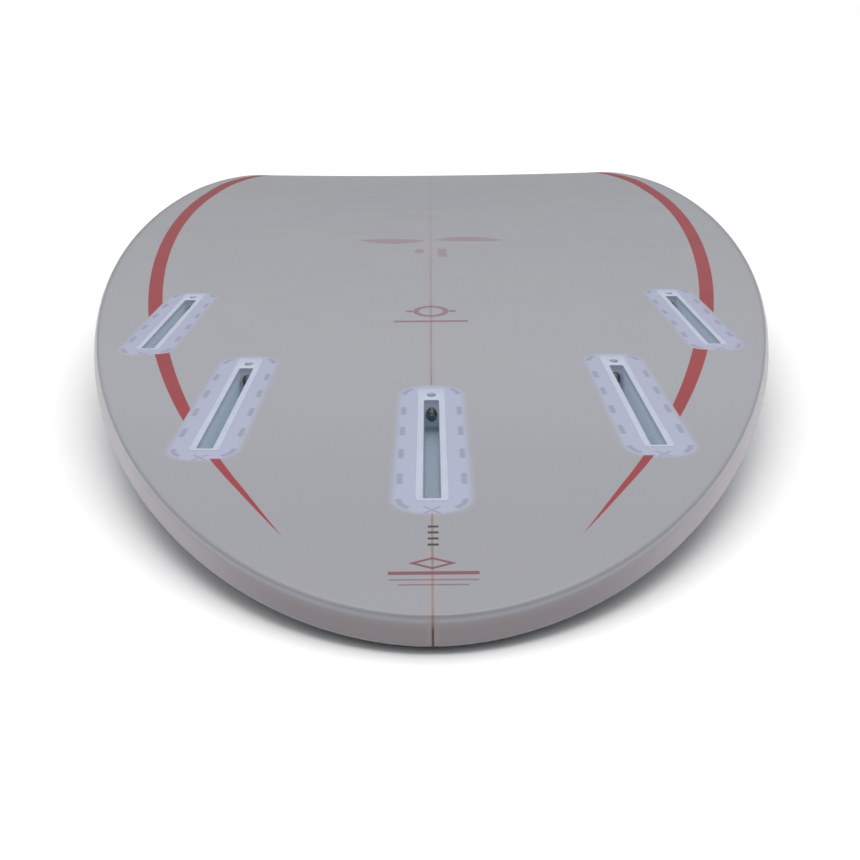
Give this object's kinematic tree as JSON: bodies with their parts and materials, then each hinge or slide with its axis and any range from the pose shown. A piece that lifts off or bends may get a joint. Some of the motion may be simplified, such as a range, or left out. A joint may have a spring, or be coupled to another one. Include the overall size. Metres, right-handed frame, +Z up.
{
  "type": "surfboard",
  "caption": "Mid-length rounded-tail surfboard lying deck down, with long fin boxes, slanted grub screws, stringer, red stripe inlays and a deck leash plug.",
  "frame": {"origin": "centre of the bounding box footprint, on the surface that the board rests on, deck down", "axes": "+Z up out of the bottom (fin side), +Y from tail to nose, +X to the right seen from behind the tail with the fin side up"},
  "size_m": [0.5938, 2.4384, 0.1046],
  "materials": {
    "foam": "fine-celled closed foam, matt",
    "stringer_wood": "thin light wood ply on edge, under clear resin",
    "glue_line": "dark glue line between the plies",
    "bottom_gloss": "pale grey tint under clear gloss, red stripe inlays",
    "deck_gloss": "pale grey tint under clear gloss",
    "fin_box_plastic": "blue-white moulded plastic",
    "resin": "clear to milky cast resin",
    "grub_steel": "blackened stainless grub screw",
    "plug_plastic": "moulded plastic",
    "bright_steel": "turned stainless",
    "rubber_seal": "black seal"
  },
  "bodies": {
    "board": {"foam_left": "foam", "foam_right": "foam", "stringer_left_ply": "stringer_wood", "stringer_glue_line": "glue_line", "stringer_right_ply": "stringer_wood", "bottom_laminate": "bottom_gloss", "deck_laminate": "deck_gloss", "fin_box_center": "fin_box_plastic", "fin_box_rear_left": "fin_box_plastic", "fin_box_rear_right": "fin_box_plastic", "fin_box_front_left": "fin_box_plastic", "fin_box_front_right": "fin_box_plastic", "fin_bed_center": "resin", "fin_bed_rear_left": "resin", "fin_bed_rear_right": "resin", "fin_bed_front_left": "resin", "fin_bed_front_right": "resin", "leash_cup": "plug_plastic", "leash_bed": "resin", "leash_pin": "bright_steel", "vent_housing": "plug_plastic", "vent_bed": "resin"},
    "screw_center": {"fin_screw_center": "grub_steel"},
    "screw_rear_left": {"fin_screw_rear_left": "grub_steel"},
    "screw_rear_right": {"fin_screw_rear_right": "grub_steel"},
    "screw_front_left": {"fin_screw_front_left": "grub_steel"},
    "screw_front_right": {"fin_screw_front_right": "grub_steel"},
    "vent_plug": {"vent_screw": "bright_steel", "vent_oring": "rubber_seal"}
  },
  "joints": [
    {"name": "fin_screw_center_drive", "type": "slide", "parent": "board", "child": "screw_center", "axis": [0, -0.6248, -0.7808], "range_m": [-0.0008, 0.0025]},
    {"name": "fin_screw_rear_left_drive", "type": "slide", "parent": "board", "child": "screw_rear_left", "axis": [-0.0062, -0.6276, -0.7785], "range_m": [-0.0008, 0.0025]},
    {"name": "fin_screw_rear_right_drive", "type": "slide", "parent": "board", "child": "screw_rear_right", "axis": [0.0062, -0.6276, -0.7785], "range_m": [-0.0008, 0.0025]},
    {"name": "fin_screw_front_left_drive", "type": "slide", "parent": "board", "child": "screw_front_left", "axis": [-0.0099, -0.6359, -0.7717], "range_m": [-0.0008, 0.0025]},
    {"name": "fin_screw_front_right_drive", "type": "slide", "parent": "board", "child": "screw_front_right", "axis": [0.0099, -0.6359, -0.7717], "range_m": [-0.0008, 0.0025]},
    {"name": "vent_screw_drive", "type": "slide", "parent": "board", "child": "vent_plug", "axis": [0.0089, -0.0111, -0.9999], "range_m": [0, 0.006]}
  ]
}
